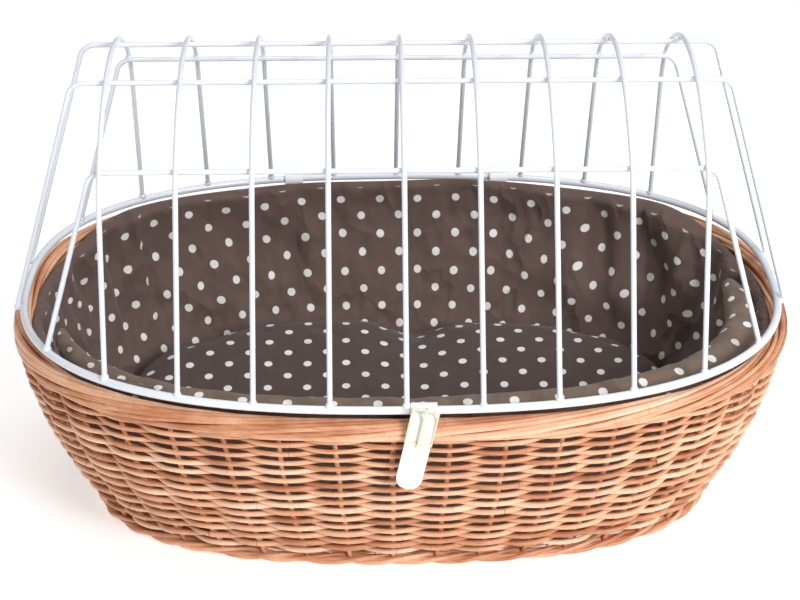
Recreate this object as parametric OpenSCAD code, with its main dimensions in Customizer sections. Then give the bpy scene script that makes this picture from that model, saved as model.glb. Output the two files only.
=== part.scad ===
// Wicker pet bed basket with a hinged wire cage, a fabric liner and a cushion.
// Origin: centre of the flat underside. +X runs along the basket, -Y is the
// front with the closing strap, +Z is up.

/* [Basket] */
// Length over the rim border
rim_l = 600; // [480:10:720]
// Width over the rim border
rim_w = 430; // [345:5:515]
// How far the wall leans out from base to rim, at each end
flare = 54; // [45:1:65]
// How far the wall leans out from base to rim, on each long side
flare_side = 73; // [55:1:80]
// Height to the top of the rim border
basket_h = 165; // [130:5:200]
// Squareness of the oval plan: 2 is an ellipse
plan_power = 2.5; // [2.2:0.05:3]
// How fast the wall rises from the base: 1 is straight
wall_bow = 1.6; // [1.1:0.05:1.9]

/* [Wicker] */
// Thickness of the woven wall shell
wall_t = 5; // [4:0.5:8]
// Diameter of the upright stakes
stake_d = 4.5; // [3:0.25:6]
// Number of upright stakes
stake_count = 41; // [24:1:46]
// Height of the rolled rim border
rim_h = 17; // [13:1:28]
// Thickness of the rolled rim border
rim_t = 16; // [13:0.5:22]
// Height of the plaited foot border
foot_h = 9; // [7:0.5:14]
// Thickness of the plaited foot border
foot_t = 11.5; // [10:0.5:15]
// Thickness of the woven base
base_t = 7; // [5:0.5:9]
// Diameter of the sticks that cross the base
base_stick_d = 4; // [3:0.25:6]
// Number of sticks that cross the base
base_stick_count = 7; // [3:1:9]

/* [Soft parts] */
// Thickness of the liner fabric with its padding
liner_t = 2.5; // [1.5:0.25:5]
// Radius of the liner's soft roll along the front
roll_r = 14; // [9:0.5:16]
// Height of the cushion at its edge
cushion_edge_h = 56; // [40:1:62]
// Extra height of the cushion at its middle
cushion_dome_h = 14; // [8:1:24]
// Gap between the cushion and the liner
cushion_gap = 4; // [2:0.5:10]

/* [Cage] */
// Diameter of the ring's wire
ring_d = 6; // [4:0.25:8]
// Diameter of the hoops and long wires
wire_d = 4; // [3:0.25:5]
// How far the ring's centre line lies inside the rim's outer face
ring_inset = 8.5; // [7:0.25:12]
// Gap between the rim border and the ring
ring_gap = 5; // [4.5:0.25:9]
// Height of the hoops over the ring
cage_h = 190; // [150:5:230]
// Spacing of the hoops
hoop_pitch = 53.7; // [44:0.1:60]
// Radius of the hoops' wide crown
crown_r = 178; // [150:1:210]
// Radius of the hoops' shoulders
shoulder_r = 60; // [50:1:75]
// Angle from upright where the crown meets the shoulder
crown_angle = 40; // [32:1:45]
// Distance of the two top wires from the middle
top_wire_y = 41; // [25:1:60]
// Angle round the shoulder where the side wires run
side_wire_angle = 45; // [35:1:60]
// Bend radius of the long wires
wire_bend_r = 12; // [9:1:18]

/* [Straps] */
// Width of the closing strap
strap_w = 18.5; // [15:0.5:22]
// Length of the closing strap below the ring
strap_drop = 60; // [45:1:80]
// Thickness of the leather
leather_t = 2; // [1.5:0.25:3]
// Space between the middle hoop and the closing strap's edge
strap_side_gap = 0.8; // [0.6:0.1:6]
// Sideways lean of the hanging strap
strap_lean = 12; // [0:1:20]
// Width of each hinge strap
hinge_strap_w = 15; // [12:0.5:22]
// Distance of each hinge strap from the middle, in hoop spacings
hinge_strap_bays = 1.64; // [1.55:0.01:1.72]
// Wire diameter of the buckle
buckle_d = 1.6; // [1.4:0.1:2.8]
// Height of the buckle frame
buckle_h = 27; // [18:1:32]

/* [Hidden] */
$fn = 48;
HOOPS = 9;

WILLOW = "peru";
WHITE_WIRE = "white";
FABRIC = "dimgray";
LEATHER = "whitesmoke";
BRASS = "palegoldenrod";

ROUND_STEPS = 72;      // stations round an oval
WALL_STEPS = 5;        // stations up the wall
skin_gap = 0.3;        // clearance between neighbouring skins
wall_inset = 1;        // wall face behind the border faces
bite = 0.3;            // how deep a weld sinks in

rim_a = rim_l / 2;
rim_b = rim_w / 2;
base_a = rim_a - flare;
base_b = rim_b - flare_side;
rim_z = basket_h - rim_h;
floor_z = base_t + base_stick_d;
liner_z = floor_z + liner_t;
stake_inset = wall_inset + wall_t + skin_gap + stake_d / 2;
liner_inset = max(rim_t, stake_inset + stake_d / 2) + skin_gap;
liner_inner = liner_inset + liner_t;
roll_z = basket_h - roll_r + 2;

ring_r = ring_d / 2;
wire_r = wire_d / 2;
ring_z = basket_h + ring_gap + ring_r;
ring_a = rim_a - ring_inset - 1.5;
ring_b = rim_b - ring_inset + 1.5;
crown_z = cage_h - crown_r;
shoulder_y = (crown_r - shoulder_r) * sin(crown_angle);
shoulder_z = crown_z + (crown_r - shoulder_r) * cos(crown_angle);

// Half axes of the wall's outer face at height z, moved in by d.
function rise(z) = 1 - pow(1 - min(1, max(0, (z - foot_h) / (basket_h - foot_h))), wall_bow);
function wall_axes(z, d) = [base_a + rise(z) * flare - d, base_b + rise(z) * flare_side - d];

// Point of an oval with half axes ab at angle t.
function oval_scale(t) = pow(pow(abs(cos(t)), plan_power) + pow(abs(sin(t)), plan_power), -1 / plan_power);
function oval(ab, t) = [ab[0] * cos(t), ab[1] * sin(t)] * oval_scale(t);
function oval_y(ab, x) = ab[1] * pow(1 - pow(abs(x) / ab[0], plan_power), 1 / plan_power);
function oval_x(ab, y) = oval_y([ab[1], ab[0]], y);
function at_z(p, z) = [p[0], p[1], z];

// Closed band round the oval. Each section point is [half axis a, half axis b, z],
// counter-clockwise as seen with the outside of the band to the right.
module oval_band(section, steps = ROUND_STEPS) {
    n = len(section);
    points = [for (i = [0:steps - 1], s = section) at_z(oval([s[0], s[1]], i * 360 / steps), s[2])];
    faces = [for (i = [0:steps - 1], j = [0:n - 1])
        let (i2 = (i + 1) % steps, j2 = (j + 1) % n)
        [i * n + j, i * n + j2, i2 * n + j2, i2 * n + j]];
    polyhedron(points, faces, convexity = 6);
}

// Solid stack of ovals. Each layer is [half axis a, half axis b, z], lowest first.
module oval_stack(layers, steps = ROUND_STEPS) {
    m = len(layers);
    points = [for (s = layers, i = [0:steps - 1]) at_z(oval([s[0], s[1]], i * 360 / steps), s[2])];
    sides = [for (k = [0:m - 2], i = [0:steps - 1])
        let (i2 = (i + 1) % steps)
        [k * steps + i, (k + 1) * steps + i, (k + 1) * steps + i2, k * steps + i2]];
    bottom = [for (i = [0:steps - 1]) i];
    top = [for (i = [steps - 1:-1:0]) (m - 1) * steps + i];
    polyhedron(points, concat([bottom], sides, [top]), convexity = 4);
}

// Tube with flat ends through rings of points, all with the same count.
module skin_tube(rings) {
    m = len(rings);
    n = len(rings[0]);
    points = [for (r = rings, p = r) p];
    sides = [for (k = [0:m - 2], i = [0:n - 1])
        let (i2 = (i + 1) % n)
        [k * n + i, (k + 1) * n + i, (k + 1) * n + i2, k * n + i2]];
    first = [for (i = [0:n - 1]) i];
    last = [for (i = [n - 1:-1:0]) (m - 1) * n + i];
    polyhedron(points, concat([first], sides, [last]), convexity = 4);
}

// Wall stations from z0 to z1 as section points moved in by d.
function wall_line(z0, z1, d) = [for (k = [0:WALL_STEPS])
    let (z = z0 + (z1 - z0) * k / WALL_STEPS, ab = wall_axes(z, d)) [ab[0], ab[1], z]];
function reversed(list) = [for (i = [len(list) - 1:-1:0]) list[i]];

// Straight round rod from p to q.
module rod(p, q, d) {
    v = q - p;
    translate(p)
        rotate([0, acos(v[2] / norm(v)), atan2(v[1], v[0])])
            cylinder(h = norm(v), d = d);
}

// Bent round wire in one plane. Each station is [across, up, normal angle], and
// place turns an offset [across, up, sideways] into a point.
WIRE_SIDES = 8;
function arc_stations(c, r, g0, g1, steps) = [for (k = [0:steps])
    let (g = g0 + (g1 - g0) * k / steps, p = on_circle(c, r, g)) [p[0], p[1], g]];
function wire_rings(stations) = [for (s = stations)
    [for (i = [0:WIRE_SIDES - 1])
        let (h = i * 360 / WIRE_SIDES, q = on_circle([s[0], s[1]], wire_r * cos(h), s[2]))
        [q[0], q[1], wire_r * sin(h)]]];

module base_panel() {
    ab = [base_a, base_b] - [1, 1] * (foot_t + skin_gap);
    color(WILLOW)
        linear_extrude(base_t)
            polygon([for (i = [0:ROUND_STEPS - 1]) oval(ab, i * 360 / ROUND_STEPS)]);
}

module base_sticks() {
    ab = [base_a, base_b] - [1, 1] * (foot_t + 6);
    color(WILLOW)
        for (i = [1:base_stick_count]) {
            x = ab[0] * (2 * i / (base_stick_count + 1) - 1);
            y = oval_y(ab, x);
            rod([x, -y, base_t + base_stick_d / 2], [x, y, base_t + base_stick_d / 2], base_stick_d);
        }
}

module foot_border() {
    a = base_a;
    b = base_b;
    c = 2;
    color(WILLOW)
        oval_band([[a - foot_t, b - foot_t, 0], [a - c, b - c, 0], [a, b, c],
                   [a, b, foot_h], [a - foot_t, b - foot_t, foot_h]]);
}

module wall_weave() {
    color(WILLOW)
        oval_band(concat(wall_line(foot_h, rim_z, wall_inset),
                         reversed(wall_line(foot_h, rim_z, wall_inset + wall_t))));
}

// Oval angle against the length along the rim, so that the stakes stand evenly.
rim_walk = [for (i = 0, far = 0; i <= 180;
        far = far + norm(oval([rim_a, rim_b], 2 * i + 2) - oval([rim_a, rim_b], 2 * i)), i = i + 1)
    [far, 2 * i]];

module stakes() {
    color(WILLOW)
        for (s = [0:stake_count - 1]) {
            t = lookup((s + 0.5) / stake_count * rim_walk[180][0], rim_walk);
            skin_tube([for (c = wall_line(foot_h, rim_z, stake_inset))
                [for (i = [0:5]) at_z(oval([c[0], c[1]], t), c[2])
                    + stake_d / 2 * [cos(60 * i), sin(60 * i), 0]]]);
        }
}

module rim_border() {
    r = 6;
    c = 1;
    color(WILLOW)
        oval_band(concat(
            [[rim_a - rim_t + c, rim_b - rim_t + c, rim_z], [rim_a - c, rim_b - c, rim_z],
             [rim_a, rim_b, rim_z + c]],
            [for (g = [0:30:90]) [rim_a - r + r * cos(g), rim_b - r + r * cos(g), basket_h - r + r * sin(g)]],
            [for (g = [90:30:180]) [rim_a - rim_t + r + r * cos(g), rim_b - rim_t + r + r * cos(g),
                                    basket_h - r + r * sin(g)]],
            [[rim_a - rim_t, rim_b - rim_t, rim_z + c]]));
}

module liner_floor() {
    ab = wall_axes(liner_z, liner_inset);
    color(FABRIC)
        translate([0, 0, floor_z])
            linear_extrude(liner_t)
                polygon([for (i = [0:ROUND_STEPS - 1]) oval(ab, i * 360 / ROUND_STEPS)]);
}

module liner_wall() {
    top = basket_h - 1;
    color(FABRIC)
        oval_band(concat(wall_line(liner_z, top, liner_inset), reversed(wall_line(liner_z, top, liner_inner))));
}

// Soft roll of folded liner along the front, from the left end round to the middle of the right end.
module liner_roll() {
    ab = wall_axes(roll_z - roll_r, liner_inner + skin_gap + roll_r);
    color(FABRIC)
        skin_tube([for (t = [194:5:369])
            let (p = oval(ab, t), q = oval(ab, t + 1), out = [q[1] - p[1], p[0] - q[0]] / norm(q - p))
            [for (i = [0:9]) at_z(p + roll_r * cos(36 * i) * out, roll_z + roll_r * sin(36 * i))]]);
}

module cushion() {
    z0 = liner_z + skin_gap;
    z1 = z0 + cushion_edge_h;
    room = liner_inner + cushion_gap;
    edge = wall_axes(z1, room);
    color(FABRIC)
        oval_stack([for (layer = [[z0, 12, 0], [z0 + cushion_edge_h * 0.3, 2, 0], [z1 - 8, 0, 0],
                                  [z1, 4, 0], [z1, 26, 0.42], [z1, 62, 0.76], [z1, 104, 0.96]])
            let (z = layer[0], ab = layer[1] < 20 ? wall_axes(z, room + layer[1]) : edge - [1, 1] * layer[1])
            [ab[0], ab[1], z + layer[2] * cushion_dome_h]]);
}

module cage_ring() {
    color(WHITE_WIRE)
        oval_band([for (g = [0:36:324])
            [ring_a + ring_r * cos(g), ring_b + ring_r * cos(g), ring_z + ring_r * sin(g)]]);
}

// Point where a line from p touches a circle, on the side given by turn.
function tangent_angle(p, c, r, turn) = atan2(p[1] - c[1], p[0] - c[0]) + turn * acos(r / norm(p - c));
function on_circle(c, r, g) = c + r * [cos(g), sin(g)];

// One hoop in the plane x: crown arc, two shoulder arcs and two straight legs
// that stand on the ring.
module hoop(x) {
    foot = [oval_y([ring_a, ring_b], x), ring_r + wire_r / 3 - bite];
    centre = [shoulder_y, shoulder_z];
    meet = 90 - crown_angle;
    leg_angle = tangent_angle(foot, centre, shoulder_r, 1);
    half = concat([[foot[0], foot[1], leg_angle]], arc_stations(centre, shoulder_r, leg_angle, meet, 6));
    crown = arc_stations([0, crown_z], crown_r, meet, 180 - meet, 16);
    other_half = reversed([for (s = half) [-s[0], s[1], 180 - s[2]]]);
    stations = concat(half, [for (k = [1:15]) crown[k]], other_half);
    color(WHITE_WIRE)
        translate([x, 0, ring_z])
            skin_tube([for (ring = wire_rings(stations)) [for (p = ring) [p[2], p[0], p[1]]]]);
}

// Height over the ring of a long wire that touches the hoops from inside.
side_wire_y = shoulder_y + (shoulder_r - wire_d) * cos(side_wire_angle);
side_wire_z = shoulder_z + (shoulder_r - wire_d) * sin(side_wire_angle);
top_wire_z = crown_z + sqrt(pow(crown_r - wire_d, 2) - pow(top_wire_y, 2));
end_hoop_x = (HOOPS - 1) / 2 * hoop_pitch;

// Long wire in the plane y: straight under the hoops, bent down at both ends.
// corner is how far past the end hoop it turns, foot is where its end is.
module long_wire(y, z, corner, foot) {
    bend = atan2(z - foot[1], foot[0] - corner);
    centre = [corner - wire_bend_r * tan(bend / 2), z - wire_bend_r];
    half = concat([[foot[0], foot[1], 90 - bend]], arc_stations(centre, wire_bend_r, 90 - bend, 90, 4));
    other_half = reversed([for (s = half) [-s[0], s[1], 180 - s[2]]]);
    color(WHITE_WIRE)
        translate([0, y, ring_z])
            skin_tube([for (ring = wire_rings(concat(half, other_half))) [for (p = ring) [p[0], -p[2], p[1]]]]);
}

// The top wires pass down the outside of the ring.
module wire_top(side) {
    corner = end_hoop_x + 26;
    centre = [oval_x([ring_a, ring_b], top_wire_y), 0];
    reach = ring_r + wire_r + 0.1;
    touch = on_circle(centre, reach, tangent_angle([corner, top_wire_z], centre, reach, -1));
    past = (touch - [corner, top_wire_z]) / norm(touch - [corner, top_wire_z]) * ring_r;
    long_wire(side * top_wire_y, top_wire_z, corner, touch + past);
}

// The side wires stand on the ring.
module wire_side(side) {
    foot = [oval_x([ring_a, ring_b], side_wire_y), ring_r + wire_r / 3 - bite];
    long_wire(side * side_wire_y, side_wire_z, end_hoop_x + 7, foot);
}

loop_r = ring_r + 0.5;              // strap loop's inner radius
strap_y = rim_b - ring_b + 1;       // band's inner face from the ring's centre
strap_top = loop_r + leather_t;
buckle_y = -strap_y - leather_t - buckle_d / 2;
buckle_top = strap_top;
buckle_w = strap_w;
prong_w = 2;
eye_r = buckle_d / 2 + 0.05;        // the prong's eye round the frame's top bar
eye_out = eye_r + 0.9;

// The closing strap in the ring's own place: loop, neck and hanging band.
strap_x = wire_r + strap_side_gap + strap_w / 2;

module strap_frame() {
    translate([strap_x, -oval_y([ring_a, ring_b], strap_x), ring_z])
        children();
}

module leaning() {
    rotate([0, strap_lean, 0]) children();
}

module front_strap() {
    band_y = -strap_y - leather_t;
    color(LEATHER)
        strap_frame()
            difference() {
                union() {
                    rod([-strap_w / 2, 0, 0], [strap_w / 2, 0, 0], 2 * strap_top);
                    translate([-strap_w / 2, band_y, 0])
                        cube([strap_w, strap_y + leather_t, strap_top]);
                    leaning() {
                        translate([-strap_w / 2, band_y, strap_w / 2 - strap_drop])
                            cube([strap_w, leather_t, strap_drop + strap_top - strap_w / 2 - 2]);
                        translate([0, band_y, strap_w / 2 - strap_drop])
                            rotate([-90, 0, 0]) cylinder(h = leather_t, d = strap_w);
                    }
                }
                rod([-strap_w, 0, 0], [strap_w, 0, 0], 2 * loop_r);
                leaning()
                    translate([0, buckle_y, buckle_top])
                        rod([-prong_w / 2 - 0.3, 0, 0], [prong_w / 2 + 0.3, 0, 0], 2 * eye_out + 0.4);
                leaning()
                    for (i = [0:2])
                        translate([0, band_y - 1, -strap_drop + 14 + 8 * i])
                            rotate([-90, 0, 0]) cylinder(h = leather_t + 2, d = 2.4, $fn = 24);
            }
}

module buckle_frame() {
    low = buckle_top - buckle_h;
    x = buckle_w / 2;
    color(BRASS)
        strap_frame() leaning() {
            rod([-x, buckle_y, low], [x, buckle_y, low], buckle_d);
            rod([-x, buckle_y, buckle_top], [x, buckle_y, buckle_top], buckle_d);
            for (side = [-x, x]) {
                rod([side, buckle_y, low], [side, buckle_y, buckle_top], buckle_d);
                for (z = [low, buckle_top])
                    translate([side, buckle_y, z]) sphere(d = buckle_d);
            }
        }
}

// The prong turns on the frame's top bar and lies over its bottom bar.
module buckle_prong() {
    tongue_y = -buckle_d / 2 - 0.2;
    color(BRASS)
        strap_frame() leaning()
            translate([0, buckle_y, buckle_top])
                difference() {
                    union() {
                        rod([-prong_w / 2, 0, 0], [prong_w / 2, 0, 0], 2 * eye_out);
                        translate([-prong_w / 2, tongue_y - 1.4, -buckle_h - 1.5])
                            cube([prong_w, 1.4, buckle_h + 1.5]);
                    }
                    rod([-prong_w, 0, 0], [prong_w, 0, 0], 2 * eye_r);
                }
}

hinge_strap_x = hinge_strap_bays * hoop_pitch;
hinge_y = oval_y([ring_a, ring_b], hinge_strap_x);
hinge_loop_r = ring_r + 1.6;
hinge_out_r = hinge_loop_r + leather_t;
hinge_tail_y = oval_y([rim_a, rim_b], hinge_strap_x - hinge_strap_w / 2) + skin_gap - hinge_y;
hinge_tail_low = -hinge_out_r - rim_h - 12;

rivet_d = 3;
rivet_z = ring_z + hinge_tail_low + 6;

// Leather loop round the ring at the back, with a tail down the outside of the rim.
module hinge_strap(side) {
    w = hinge_strap_w;
    color(LEATHER)
        translate([side * hinge_strap_x, hinge_y, ring_z])
            difference() {
                union() {
                    rod([-w / 2, 0, 0], [w / 2, 0, 0], 2 * hinge_out_r);
                    translate([-w / 2, 0, 0])
                        cube([w, hinge_tail_y + leather_t, hinge_out_r]);
                    translate([-w / 2, hinge_tail_y, hinge_tail_low])
                        cube([w, leather_t, 1 - hinge_tail_low]);
                }
                rod([-w, 0, 0], [w, 0, 0], 2 * hinge_loop_r);
                rod([0, 0, rivet_z - ring_z], [0, hinge_tail_y + 2 * leather_t, rivet_z - ring_z], rivet_d + 0.1);
            }
}

// Two rivets that hold the hinge straps' tails to the wall below the rim.
module hinge_rivets() {
    head_t = 1.4;
    wall_y = oval_y(wall_axes(rivet_z, wall_inset), hinge_strap_x + hinge_strap_w / 2) - 2;
    head_y = hinge_y + hinge_tail_y + leather_t;
    color(BRASS)
        for (side = [-1, 1])
            translate([side * hinge_strap_x, 0, rivet_z]) {
                rod([0, wall_y, 0], [0, head_y + head_t / 2, 0], rivet_d);
                rod([0, head_y, 0], [0, head_y + head_t, 0], 8);
            }
}

base_panel();
base_sticks();
foot_border();
wall_weave();
stakes();
rim_border();
liner_floor();
liner_wall();
liner_roll();
cushion();
cage_ring();
for (i = [1:HOOPS])
    hoop((i - (HOOPS + 1) / 2) * hoop_pitch);
wire_top(-1);  // wire_top_front
wire_top(1);  // wire_top_back
wire_side(-1);  // wire_side_front
wire_side(1);  // wire_side_back
front_strap();
buckle_frame();
buckle_prong();
hinge_strap(-1);  // hinge_strap_left
hinge_strap(1);  // hinge_strap_right
hinge_rivets();
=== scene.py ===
import bisect
import math
import random

import bmesh
import bpy
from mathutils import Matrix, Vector, noise


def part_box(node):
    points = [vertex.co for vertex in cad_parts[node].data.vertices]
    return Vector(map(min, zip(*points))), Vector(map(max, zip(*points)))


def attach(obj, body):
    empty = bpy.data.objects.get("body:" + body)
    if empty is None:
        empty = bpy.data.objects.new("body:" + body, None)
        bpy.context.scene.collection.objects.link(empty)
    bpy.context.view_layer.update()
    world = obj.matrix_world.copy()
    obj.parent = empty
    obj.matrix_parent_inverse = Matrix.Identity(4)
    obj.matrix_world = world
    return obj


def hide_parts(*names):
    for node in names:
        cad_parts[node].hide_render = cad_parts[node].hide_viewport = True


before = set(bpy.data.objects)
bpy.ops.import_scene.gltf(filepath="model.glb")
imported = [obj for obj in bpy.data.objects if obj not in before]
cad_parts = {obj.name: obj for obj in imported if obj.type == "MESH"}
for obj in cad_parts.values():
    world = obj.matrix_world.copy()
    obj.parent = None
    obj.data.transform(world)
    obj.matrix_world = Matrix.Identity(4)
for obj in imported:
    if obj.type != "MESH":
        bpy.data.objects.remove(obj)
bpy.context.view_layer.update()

# the basket's own sizes, in metres
rimLow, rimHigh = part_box("rim_border")
footLow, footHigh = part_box("foot_border")
basket = {"rimA": rimHigh[0], "rimB": rimHigh[1], "top": rimHigh[2], "rimBottom": rimLow[2],
          "baseA": footHigh[0], "baseB": footHigh[1], "footTop": footHigh[2],
          "planPower": 2.5, "wallBow": 1.6, "stakes": 41}
ringLow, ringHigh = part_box("cage_ring")
ring = {"radius": 0.003, "z": (ringLow[2] + ringHigh[2]) / 2}
ring["a"] = ringHigh[0] - ring["radius"]
ring["b"] = ringHigh[1] - ring["radius"]


def ovalScale(t):
    n = basket["planPower"]
    return (abs(math.cos(t)) ** n + abs(math.sin(t)) ** n) ** (-1 / n)


def oval(a, b, t):
    k = ovalScale(t)
    return a * k * math.cos(t), b * k * math.sin(t)


def rimWalk(steps=720):
    # oval angle against the length along the rim, so that stakes and rods go round evenly
    far = [0.0]
    for i in range(steps):
        x0, y0 = oval(basket["rimA"], basket["rimB"], 2 * math.pi * i / steps)
        x1, y1 = oval(basket["rimA"], basket["rimB"], 2 * math.pi * (i + 1) / steps)
        far.append(far[-1] + math.hypot(x1 - x0, y1 - y0))
    return far


walk = rimWalk()


def angleAt(share):  # share 1 is once round the rim
    turns = math.floor(share)
    far = (share - turns) * walk[-1]
    k = min(len(walk) - 2, bisect.bisect_right(walk, far) - 1)
    part = (far - walk[k]) / (walk[k + 1] - walk[k])
    return 2 * math.pi * (turns + (k + part) / (len(walk) - 1))


def ovalAcross(a, b, x):
    n = basket["planPower"]
    return b * (1 - min(1, abs(x) / a) ** n) ** (1 / n)


def wallRise(z):
    u = min(1, max(0, (z - basket["footTop"]) / (basket["top"] - basket["footTop"])))
    return 1 - (1 - u) ** basket["wallBow"]


def onWall(t, z, inset):
    lean = wallRise(z)
    a = basket["baseA"] + lean * (basket["rimA"] - basket["baseA"]) - inset
    b = basket["baseB"] + lean * (basket["rimB"] - basket["baseB"]) - inset
    x, y = oval(a, b, t)
    return Vector((x, y, z))


def wobble(x, y, z=0.0):
    return noise.noise(Vector((x, y, z)))


def smooth(x):
    x = min(1, max(0, x))
    return x * x * (3 - 2 * x)


class Val:  # wraps a socket so that shader and geometry maths read as plain expressions
    def __init__(self, build, socket):
        self.build = build
        self.socket = socket

    def op(self, kind, *others):
        return self.build.node("ShaderNodeMath", {"operation": kind}, [self, *others])

    def flipped(self, kind, other):
        return self.build.node("ShaderNodeMath", {"operation": kind}, [other, self])

    def __add__(self, other): return self.op("ADD", other)
    def __radd__(self, other): return self.op("ADD", other)
    def __sub__(self, other): return self.op("SUBTRACT", other)
    def __rsub__(self, other): return self.flipped("SUBTRACT", other)
    def __mul__(self, other): return self.op("MULTIPLY", other)
    def __rmul__(self, other): return self.op("MULTIPLY", other)
    def __truediv__(self, other): return self.op("DIVIDE", other)
    def __rtruediv__(self, other): return self.flipped("DIVIDE", other)
    def __abs__(self): return self.op("ABSOLUTE")
    def fract(self): return self.op("FRACT")
    def least(self, other): return self.op("MINIMUM", other)
    def sine(self): return self.op("SINE")
    def root(self): return self.op("SQRT")


class Build:
    def __init__(self, tree):
        self.tree = tree

    def node(self, kind, settings=None, inputs=(), out=0):
        made = self.tree.nodes.new(kind)
        for key, value in (settings or {}).items():
            if key == "stops":
                ramp = made.color_ramp
                while len(ramp.elements) < len(value):
                    ramp.elements.new(0.5)
                for element, (place, colour) in zip(ramp.elements, value):
                    element.position = place
                    element.color = (*colour, 1)
            else:
                setattr(made, key, value)
        pairs = inputs.items() if isinstance(inputs, dict) else enumerate(inputs)
        for key, value in pairs:
            if isinstance(value, Val):
                self.tree.links.new(value.socket, made.inputs[key])
            elif value is not None:
                made.inputs[key].default_value = value
        return Val(self, made.outputs[out])

    def more(self, value, out):
        return Val(self, value.socket.node.outputs[out])


def blankMaterial(name):
    material = bpy.data.materials.new(name)
    material.use_nodes = True
    build = Build(material.node_tree)
    surface = material.node_tree.nodes["Principled BSDF"]
    return material, build, surface


def setInputs(surface, values):
    for name, value in values.items():
        surface.inputs[name].default_value = value


def plug(build, value, surface, name):
    build.tree.links.new(value.socket, surface.inputs[name])


def mixColour(build, factor, first, second, kind="MIX"):
    return build.node("ShaderNodeMix", {"data_type": "RGBA", "blend_type": kind},
                      {0: factor, 6: first, 7: second}, out=2)


def rgb(red, green, blue):  # from screen values to light values
    return tuple((c / 255 / 12.92) if c <= 10 else ((c / 255 + 0.055) / 1.055) ** 2.4 for c in (red, green, blue))


def rgba(*screen):
    return (*rgb(*screen), 1)


def step(build, value, low, high):
    return build.node("ShaderNodeMapRange", {"interpolation_type": "SMOOTHSTEP"}, {0: value, 1: low, 2: high})


def placeOf(build, scale=(1, 1, 1)):
    spot = build.node("ShaderNodeTexCoord", out="Object")
    return build.node("ShaderNodeMapping", None, {"Vector": spot, "Scale": scale})


def noiseAt(build, spot, scale, detail=3, rough=0.5):
    return build.node("ShaderNodeTexNoise", None, {"Vector": spot, "Scale": scale, "Detail": detail,
                                                  "Roughness": rough})


def bumpFrom(build, surface, height, distance, strength=1.0):
    bump = build.node("ShaderNodeBump", None, {"Strength": strength, "Distance": distance, "Height": height})
    plug(build, bump, surface, "Normal")


def willowFinish():
    material, build, surface = blankMaterial("peeledWillow")
    # tone is each rod's own lighter or darker willow; on the wall rods it also holds painted shade where they pass
    # behind the stakes
    tone = build.node("ShaderNodeAttribute", {"attribute_name": "tone"}, out="Fac")
    along = build.node("ShaderNodeAttribute", {"attribute_name": "along"}, out="Fac")
    patches = noiseAt(build, placeOf(build, (1, 1, 2.2)), 24, 3)
    streaks = noiseAt(build, placeOf(build, (70, 70, 900)), 1.0, 4, 0.65)
    stain = noiseAt(build, placeOf(build, (9, 9, 60)), 1.0, 2)
    value = tone * 0.62 + (patches - 0.5) * 0.75 + (streaks - 0.5) * 0.65 + 0.2
    colour = build.node("ShaderNodeValToRGB", {"stops": [
        (0.0, rgb(150, 88, 54)), (0.25, rgb(196, 131, 91)), (0.5, rgb(226, 170, 132)),
        (0.75, rgb(241, 192, 157)), (1.0, rgb(251, 217, 188))]}, [value])
    reddish = mixColour(build, step(build, stain, 0.56, 0.74) * 0.5, colour, rgba(178, 92, 50))
    ringMark = (along * 57 + tone * 9).fract()
    knot = step(build, ringMark, 0.035, 0.0) * step(build, patches, 0.42, 0.62)
    final = mixColour(build, knot * 0.6, reddish, rgba(104, 56, 30))
    plug(build, final, surface, "Base Color")
    plug(build, (streaks * 0.25) + 0.34, surface, "Roughness")
    setInputs(surface, {"Coat Weight": 0.12, "Coat Roughness": 0.35})
    bumpFrom(build, surface, streaks + knot * 1.5, 0.0006, 0.55)
    return material


def dottedFinish(name, ground, worn, crease=0.006):
    # cotton with round dots set in staggered rows; u and v are metres of cloth
    dots = {"across": 0.032, "down": 0.029, "radius": 0.0033, "soft": 0.0003, "thread": 0.0011}
    material, build, surface = blankMaterial(name)
    cloth = build.node("ShaderNodeUVMap", {"uv_map": "cloth"})
    split = build.node("ShaderNodeSeparateXYZ", None, [cloth])
    u = split
    v = build.more(split, 1)
    drift = noiseAt(build, placeOf(build), 9, 1) - 0.5
    u = u + drift * 0.004
    v = v + drift * -0.004

    def nearest(shift):
        x = ((u / dots["across"] + shift).fract() - 0.5) * dots["across"]
        y = ((v / dots["down"] + shift).fract() - 0.5) * dots["down"]
        return (x * x + y * y).root()
    away = nearest(0.0).least(nearest(0.5))
    plain = build.node("ShaderNodeAttribute", {"attribute_name": "plain"}, out="Fac")
    dot = step(build, away, dots["radius"] + dots["soft"], dots["radius"] - dots["soft"]) * (1 - plain)
    mottle = noiseAt(build, placeOf(build), 60, 4, 0.6)
    turn = 2 * math.pi / dots["thread"]
    weave = ((u * turn).sine() * (v * turn).sine()) * 0.5 + 0.5
    brown = mixColour(build, mottle, rgba(*ground), rgba(*worn))
    printed = mixColour(build, dot * 0.96, brown, rgba(243, 243, 240))
    shaded = mixColour(build, weave * 0.22, printed, rgba(0, 0, 0), "MULTIPLY")
    plug(build, shaded, surface, "Base Color")
    plug(build, 0.86 - dot * 0.12, surface, "Roughness")
    setInputs(surface, {"Sheen Weight": 0.1, "Sheen Roughness": 0.5})
    fine = build.node("ShaderNodeBump", None, {"Strength": 0.5, "Distance": 0.0004,
                                               "Height": weave * 0.5 + mottle * 0.8 + dot * 0.25})
    creases = noiseAt(build, placeOf(build, (1, 1, 0.6)), 21, 2.5, 0.55)
    ridges = 1 - abs((creases - 0.5) * 5).least(1.0)
    soft = build.node("ShaderNodeBump", None, {"Strength": 0.75, "Distance": crease, "Height": creases + ridges * 0.35,
                                               "Normal": fine})
    plug(build, soft, surface, "Normal")
    return material


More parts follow.
